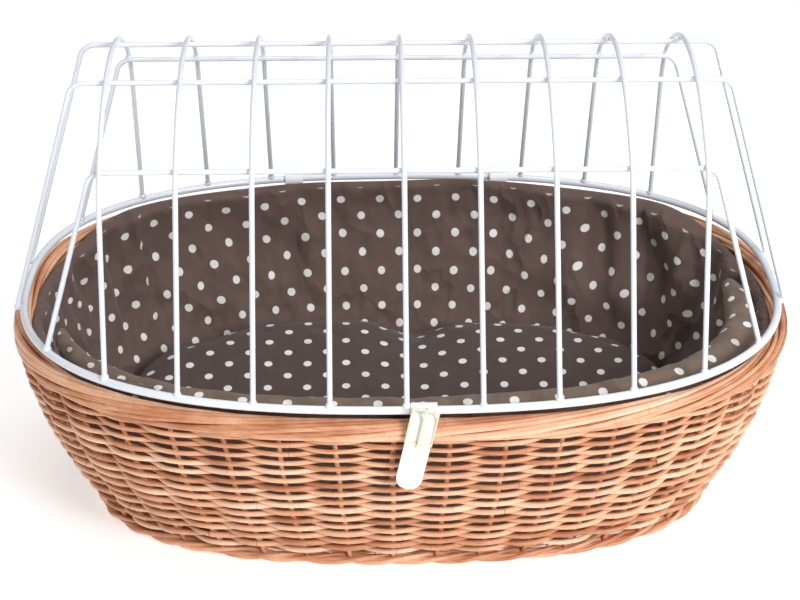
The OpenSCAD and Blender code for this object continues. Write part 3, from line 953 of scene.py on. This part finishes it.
def cageWires():
    pieces = []
    loop = []
    for i in range(360):
        x, y = oval(ring["a"], ring["b"], 2 * math.pi * i / 360)
        loop.append(Vector((x, y, ring["z"])))
    pieces.append(("cageRing", loop, ring["radius"], True, "cage_ring"))
    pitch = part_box("hoop_2")[1][0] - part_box("hoop_1")[1][0]
    endX = (cage["hoops"] - 1) / 2 * pitch
    joints = []
    sideY = cage["shoulderY"] + (cage["shoulderR"] - 2 * cage["wire"]) * math.cos(cage["sideAngle"])
    sideZ = cage["shoulderZ"] + (cage["shoulderR"] - 2 * cage["wire"]) * math.sin(cage["sideAngle"])
    topZ = cage["crownZ"] + math.sqrt((cage["crownR"] - 2 * cage["wire"]) ** 2 - cage["topY"] ** 2)
    for k in range(cage["hoops"]):
        x = -endX + k * pitch
        pieces.append((f"cageHoop{k + 1}", hoopPoints(x), cage["wire"], False, f"hoop_{k + 1}"))
        for side in (-1, 1):
            footY = ovalAcross(ring["a"], ring["b"], x)
            # each drop sits a little off the wires' crossing, and has its own size
            joints.append((Vector((x, side * footY, ring["z"] + ring["radius"])), 1.25))
            joints.append((Vector((x, side * (sideY + 0.0014), ring["z"] + sideZ + 0.0014)), 1.0))
            joints.append((Vector((x, side * (cage["topY"] + 0.0004), ring["z"] + topZ + 0.0019)), 1.0))
    topCorner = endX + cage["topPast"]
    centre = (ovalAcross(ring["b"], ring["a"], cage["topY"]), 0)
    reach = ring["radius"] + cage["wire"] + 0.0001
    g = tangentAngle((topCorner, topZ), centre, reach, -1)
    touch = (centre[0] + reach * math.cos(g), reach * math.sin(g))
    far = math.hypot(touch[0] - topCorner, touch[1] - topZ)
    topFoot = (touch[0] + (touch[0] - topCorner) / far * ring["radius"],
               touch[1] + (touch[1] - topZ) / far * ring["radius"])
    sideFoot = (ovalAcross(ring["b"], ring["a"], sideY), ring["radius"] + cage["wire"] / 3 - cage["sink"])
    for side, place in ((-1, "front"), (1, "back")):
        name = place.capitalize()
        pieces.append((f"cageTopWire{name}", longWirePoints(side * cage["topY"], topZ, topCorner, topFoot),
                       cage["wire"], False, f"wire_top_{place}"))
        pieces.append((f"cageSideWire{name}", longWirePoints(side * sideY, sideZ, endX + cage["sidePast"], sideFoot),
                       cage["wire"], False, f"wire_side_{place}"))
        for end in (-1, 1):
            joints.append((Vector((end * (centre[0] + 0.0025), side * cage["topY"], ring["z"])), 1.2))
            joints.append((Vector((end * sideFoot[0], side * sideY, ring["z"] + ring["radius"])), 1.25))
    for name, points, thick, closed, node in pieces:
        piece = sweepRods(name, [{"points": points, "thick": thick, "tone": 0.5, "closed": closed}], whiteWire, 14)
        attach(piece, "cage")
        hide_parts(node)
    return joints


def weldTree():
    # a small drop of coating at each weld, with its own size and turn
    tree, build, given = geometryTree("welds", [("Radius", "NodeSocketFloat", 0.0024), ("Seed", "NodeSocketInt", 3),
                                                ("Finish", "NodeSocketMaterial", None)])
    drop = build.node("GeometryNodeMeshIcoSphere", None, {"Radius": 1.0, "Subdivisions": 3})
    size = build.node("GeometryNodeInputNamedAttribute", {"data_type": "FLOAT"}, {"Name": "size"})
    radius = build.more(given, "Radius")
    uneven = build.node("FunctionNodeRandomValue", {"data_type": "FLOAT"},
                        {2: 0.9, 3: 1.15, "Seed": build.more(given, "Seed")}, out=1)
    spots = build.node("GeometryNodeMeshToPoints", None, {"Mesh": given})
    placed = build.node("GeometryNodeInstanceOnPoints", None,
                        {"Points": spots, "Instance": drop, "Scale": size * radius * uneven})
    soft = build.node("GeometryNodeSetShadeSmooth", None,
                      {"Geometry": build.node("GeometryNodeRealizeInstances", None, [placed])})
    endTree(build, soft, build.more(given, "Finish"))
    return tree


def cageWelds(joints):
    piece = newMesh("cageWelds", [p for p, _ in joints])
    writeValues(piece, "size", [size for _, size in joints])
    applyTree(piece, weldTree(), {"Radius": cage["drop"], "Seed": 3, "Finish": whiteWire})
    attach(piece, "cage")


cageWelds(cageWires())
print("cage made")


strap = {"width": 0.0185, "leather": 0.002, "drop": 0.060, "lean": math.radians(12), "x": 0.01205}
strap["y"] = -ovalAcross(ring["a"], ring["b"], strap["x"])
strap["face"] = -(basket["rimB"] - ring["b"] + 0.001)


def ribbon(name, path, halfWidth, lean=None):
    # a flat band along path in the side view; halfWidth may change along it
    lengths = [0.0]
    for p, q in zip(path, path[1:]):
        lengths.append(lengths[-1] + math.hypot(q[0] - p[0], q[1] - p[1]))
    across = 10
    rows = []
    for k, (y, z) in enumerate(path):
        half = halfWidth(lengths[k], lengths[-1])
        row = []
        for i in range(across + 1):
            x = half * (2 * i / across - 1)
            point = Vector((x, y, z))
            if lean:
                turn = lean(lengths[k])
                c, s = math.cos(turn), math.sin(turn)
                point = Vector((x * c + z * s, y, z * c - x * s))
            row.append(point)
        rows.append(row)
    flat = [[(p.x, p.z) for p in row] for row in rows]
    return gridPiece(name, rows, False, whiteLeather, flat)


def finishLeather(piece, thick, place, body, node):
    for vertex in piece.data.vertices:
        vertex.co += place
    solid = piece.modifiers.new("leather", "SOLIDIFY")
    solid.thickness = thick
    solid.offset = 0
    edge = piece.modifiers.new("edge", "BEVEL")
    edge.width = thick * 0.3
    edge.segments = 3
    edge.limit_method = "ANGLE"
    edge.angle_limit = math.radians(50)
    settle(piece)
    faceOutwards(piece)
    shadeSmooth(piece)
    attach(piece, body)
    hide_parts(node)


def stitchTree():
    # short thread stitches, one at each point, turned along the seam
    tree, build, given = geometryTree("stitches", [("Length", "NodeSocketFloat", 0.0022),
                                                   ("Thread", "NodeSocketFloat", 0.0004),
                                                   ("Finish", "NodeSocketMaterial", None)])
    length = build.more(given, "Length")
    thread = build.more(given, "Thread")
    curve = build.node("GeometryNodeMeshToCurve", None, {"Mesh": given})
    spots = build.node("GeometryNodeCurveToPoints", {"mode": "EVALUATED"}, {"Curve": curve})
    turned = build.more(spots, "Rotation")
    stitch = build.node("GeometryNodeMeshUVSphere", None, {"Segments": 8, "Rings": 6, "Radius": 1.0})
    size = build.node("ShaderNodeCombineXYZ", None, [thread, thread * 0.8, length * 0.5])
    placed = build.node("GeometryNodeInstanceOnPoints", None,
                        {"Points": spots, "Instance": stitch, "Rotation": turned, "Scale": size})
    whole = build.node("GeometryNodeRealizeInstances", None, [placed])
    soft = build.node("GeometryNodeSetShadeSmooth", None, {"Geometry": whole})
    endTree(build, soft, build.more(given, "Finish"))
    return tree


stitchWork = stitchTree()


def stitchLine(name, points, body):
    piece = newMesh(name, points, edges=[(i, i + 1) for i in range(len(points) - 1)])
    applyTree(piece, stitchWork, {"Length": 0.0021, "Thread": 0.00038, "Finish": whiteThread})
    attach(piece, body)


def closingStrap():
    loop = ring["radius"] + 0.0005 + strap["leather"] / 2
    face = strap["face"] - strap["leather"] / 2
    path = []
    steps = 22
    for k in range(steps + 1):
        g = math.radians(-70 + 230 * k / steps)
        path.append((loop * math.cos(g), loop * math.sin(g)))
    start = path[-1]
    for k in range(1, 9):
        share = smooth(k / 8)
        path.append((start[0] + (face - start[0]) * share, start[1] + (-0.004 - start[1]) * (k / 8)))
    low = path[-1][1]
    for k in range(1, 41):
        share = k / 40
        bow = 0.0006 * math.sin(share * math.pi * 1.5)
        path.append((face - bow, low + (-strap["drop"] - low) * share))
    half = strap["width"] / 2

    def width(at, total):
        left = total - at
        return half * math.sqrt(max(0.0, 1 - ((half - left) / half) ** 2)) + 1e-5 if left < half else half
    # the strap leans only once it has left the ring
    loopLength = sum(math.hypot(q[0] - p[0], q[1] - p[1]) for p, q in zip(path, path[1:steps + 1]))
    piece = ribbon("closingStrap", path, width, lambda at: strap["lean"] * smooth((at - loopLength * 0.8) / 0.008))
    place = Vector((strap["x"], strap["y"], ring["z"]))
    finishLeather(piece, strap["leather"], place, "front_strap", "front_strap")


def buckleParts():
    for name in ("buckle_frame", "buckle_prong", "hinge_rivets"):
        setFinish(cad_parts[name], paleBrass)


hinge = {"x": 0.088068, "width": 0.015, "leather": 0.002, "loop": 0.0046, "stitches": 6, "seam": 0.0105}


def hingeLoops():
    y0 = ovalAcross(ring["a"], ring["b"], hinge["x"])
    loop = hinge["loop"] + hinge["leather"] / 2
    for side, node, name in ((-1, "hinge_strap_left", "hingeLoopLeft"), (1, "hinge_strap_right", "hingeLoopRight")):
        low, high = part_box(node)
        tailY = high[1] - hinge["leather"] / 2 - y0
        tailZ = low[2] - ring["z"]
        path = [(loop * math.cos(math.radians(g)), loop * math.sin(math.radians(g))) for g in range(290, 39, -10)]
        start = path[-1]
        for k in range(1, 11):
            share = k / 10
            path.append((start[0] + (tailY - start[0]) * smooth(share), start[1] + (-0.008 - start[1]) * share))
        bend = path[-1][1]
        for k in range(1, 25):
            path.append((tailY, bend + (tailZ - bend) * k / 24))
        half = hinge["width"] / 2

        def width(at, total):
            left = total - at
            return half * (1 - 0.35 * (1 - left / half) ** 2) if left < half else half
        piece = ribbon(name, path, width)
        place = Vector((side * hinge["x"], y0, ring["z"]))
        finishLeather(piece, hinge["leather"], place, "basket", node)
        points = [place + Vector((-half * 0.7 + 1.4 * half * k / 5, tailY + hinge["leather"] / 2, -hinge["seam"]))
                  for k in range(hinge["stitches"])]
        stitchLine(name + "Stitches", points, "basket")


closingStrap()
buckleParts()
hingeLoops()
print("leather made")


room = {"floor": 0.8, "floorGlow": 0.5, "world": 0.36, "aim": Vector((0, 0, 0.15))}
# name, place, size and watts of each lamp
lamps = [("key", (1.5, -2.3, 1.7), 1.1, 74), ("fill", (-2.4, -1.6, 1.5), 2.0, 2), ("above", (0.0, 0.1, 2.6), 1.6, 20)]


def studio():
    sweep = newMesh("studioFloor", [(-12, -12, 0), (12, -12, 0), (12, 12, 0), (-12, 12, 0)], [(0, 1, 2, 3)])
    paper, _, surface = blankMaterial("glowingPaper")
    setInputs(surface, {"Base Color": (room["floor"], room["floor"], room["floor"], 1), "Roughness": 0.95,
                        "Emission Color": (1, 1, 1, 1), "Emission Strength": room["floorGlow"]})
    setFinish(sweep, paper)
    world = bpy.data.worlds.new("softRoom")
    bpy.context.scene.world = world
    world.use_nodes = True
    setInputs(world.node_tree.nodes["Background"], {"Color": (1, 1, 1, 1), "Strength": room["world"]})
    for name, place, size, power in lamps:
        light = bpy.data.lights.new(name, "AREA")
        light.size = size
        light.energy = power
        lamp = bpy.data.objects.new(name, light)
        lamp.location = place
        aim = room["aim"] - Vector(place)
        lamp.rotation_euler = aim.to_track_quat("-Z", "Y").to_euler()
        bpy.context.scene.collection.objects.link(lamp)
    bpy.context.scene.view_settings.view_transform = "Standard"


# place is measured from the ring's height; yaw and pitch are in degrees
eye = {"place": (-0.0318, -1.5601, 0.7546), "yaw": 1.145, "pitch": 26.313, "lens": 99.83, "sensor": 36}


def camera():
    data = bpy.data.cameras.new("camera")
    data.lens = eye["lens"]
    data.sensor_width = eye["sensor"]
    data.clip_end = 60
    view = bpy.data.objects.new("camera", data)
    x, y, z = eye["place"]
    view.location = (x, y, z + ring["z"])
    view.rotation_euler = (math.radians(90 - eye["pitch"]), 0, math.radians(-eye["yaw"]))
    bpy.context.scene.collection.objects.link(view)
    bpy.context.scene.camera = view


studio()
camera()
print("studio made")
